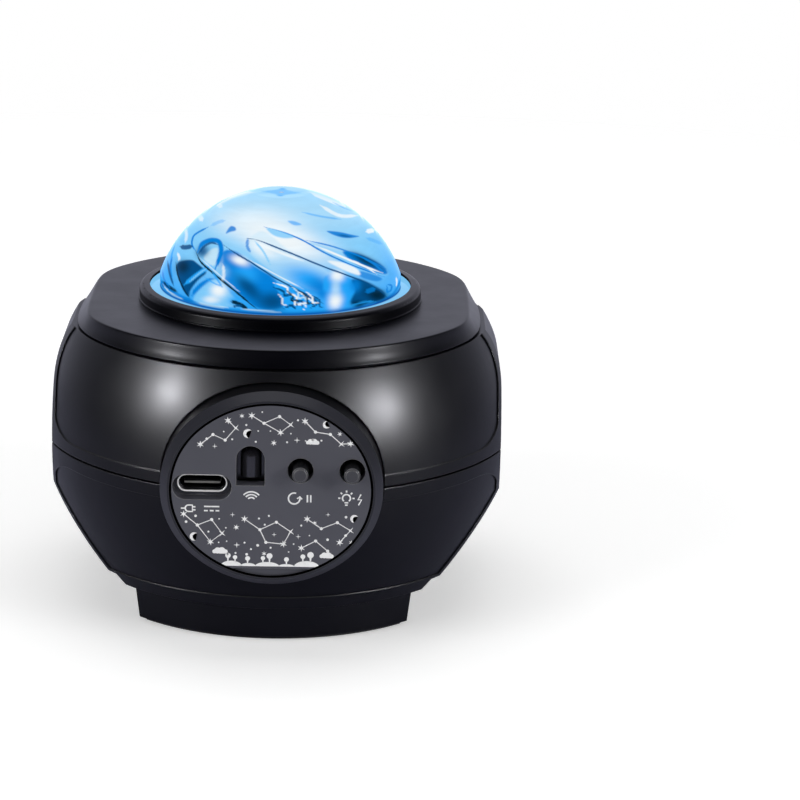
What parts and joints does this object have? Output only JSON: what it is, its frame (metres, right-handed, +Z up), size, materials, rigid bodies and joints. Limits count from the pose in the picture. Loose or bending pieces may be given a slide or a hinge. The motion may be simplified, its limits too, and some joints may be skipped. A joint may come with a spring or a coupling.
{
  "type": "star night light projector",
  "caption": "Drum-shaped table projector with a clear dome, a turning wave lens, an oval control panel in front and a speaker behind.",
  "frame": {"origin": "middle of the underside of the rubber pad, on the table surface", "axes": "+Z up through the dome; the control panel faces -Y; +X is on the right of someone who looks at the panel"},
  "size_m": [0.086, 0.099, 0.0779],
  "materials": {
    "pad_rubber": "matt rubber",
    "black_satin": "satin black moulded plastic",
    "screw_steel": "plated",
    "cover_grey": "satin charcoal moulded plastic",
    "black_gloss": "gloss black",
    "dome_clear": "clear with a blue tint",
    "bezel_grey": "satin dark grey moulded plastic",
    "plate_grey": "satin dark grey with white print",
    "board_green": "solder mask",
    "switch_grey": "moulded",
    "plunger_black": "moulded",
    "tin_plate": "tin plated",
    "socket_black": "moulded",
    "ir_black": "dark infrared resin",
    "basket_steel": "pressed",
    "magnet_steel": "plated",
    "cone_paper": "paper cone",
    "chip_black": "moulded",
    "deck_white": "moulded",
    "sink_aluminium": "extruded",
    "board_white": "white solder mask",
    "emitter_clear": "clear dome on a white base",
    "cup_silver": "metallised",
    "laser_brass": "turned",
    "grating_glass": "diffraction film",
    "gear_white": "moulded",
    "lens_clear": "clear, rippled",
    "gearbox_brass": "stamped",
    "motor_steel": "plated"
  },
  "bodies": {
    "casing": {"base_pad": "pad_rubber", "pedestal": "black_satin", "pedestal_screws": "screw_steel", "lower_shell": "black_satin", "upper_shell": "black_satin", "shell_screws": "screw_steel", "top_cover": "cover_grey", "dome_collar": "black_gloss", "dome_lens": "dome_clear", "panel_bezel": "bezel_grey", "panel_plate": "plate_grey", "control_board": "board_green", "switch_bodies": "switch_grey", "usb_shell": "tin_plate", "usb_tongue": "socket_black", "ir_receiver": "ir_black", "panel_screws": "screw_steel", "speaker_bezel": "bezel_grey", "speaker_grille": "plate_grey", "speaker_mount": "black_satin", "speaker_basket": "basket_steel", "speaker_magnet": "magnet_steel", "speaker_cone": "cone_paper", "speaker_screws": "screw_steel", "main_board": "board_green", "board_parts": "chip_black", "board_screws": "screw_steel", "lens_deck": "deck_white", "deck_screws": "screw_steel", "heat_sink": "sink_aluminium", "heat_sink_screws": "screw_steel", "led_board": "board_white", "led_emitters": "emitter_clear", "light_cup": "cup_silver", "laser_module": "laser_brass", "star_grating": "grating_glass", "hub_clip": "gear_white", "motor_gearbox": "gearbox_brass", "motor_can": "motor_steel", "motor_clamp": "motor_steel", "clamp_screws": "screw_steel"},
    "wave_rotor": {"lens_gear": "gear_white", "wave_lens": "lens_clear"},
    "motor_rotor": {"motor_shaft": "motor_steel", "motor_pinion": "gear_white"},
    "motor_key": {"button_motor": "plunger_black"},
    "led_key": {"button_led": "plunger_black"}
  },
  "joints": [
    {"name": "wave_spin", "type": "hinge", "parent": "casing", "child": "wave_rotor", "pos_m": [0, 0, 0.046], "axis": [0, 0, 1], "continuous": true},
    {"name": "motor_spin", "type": "hinge", "parent": "casing", "child": "motor_rotor", "pos_m": [0.0275, 0, 0.046], "axis": [0, 0, 1], "continuous": true},
    {"name": "motor_key_press", "type": "slide", "parent": "casing", "child": "motor_key", "axis": [0, 1, 0], "range_m": [0, 0.0003], "stiffness_N_per_m": 1500},
    {"name": "led_key_press", "type": "slide", "parent": "casing", "child": "led_key", "axis": [0, 1, 0], "range_m": [0, 0.0003], "stiffness_N_per_m": 1500}
  ],
  "couplings": [
    {"joint": "motor_spin", "follows": "wave_spin", "ratio": -4}
  ]
}
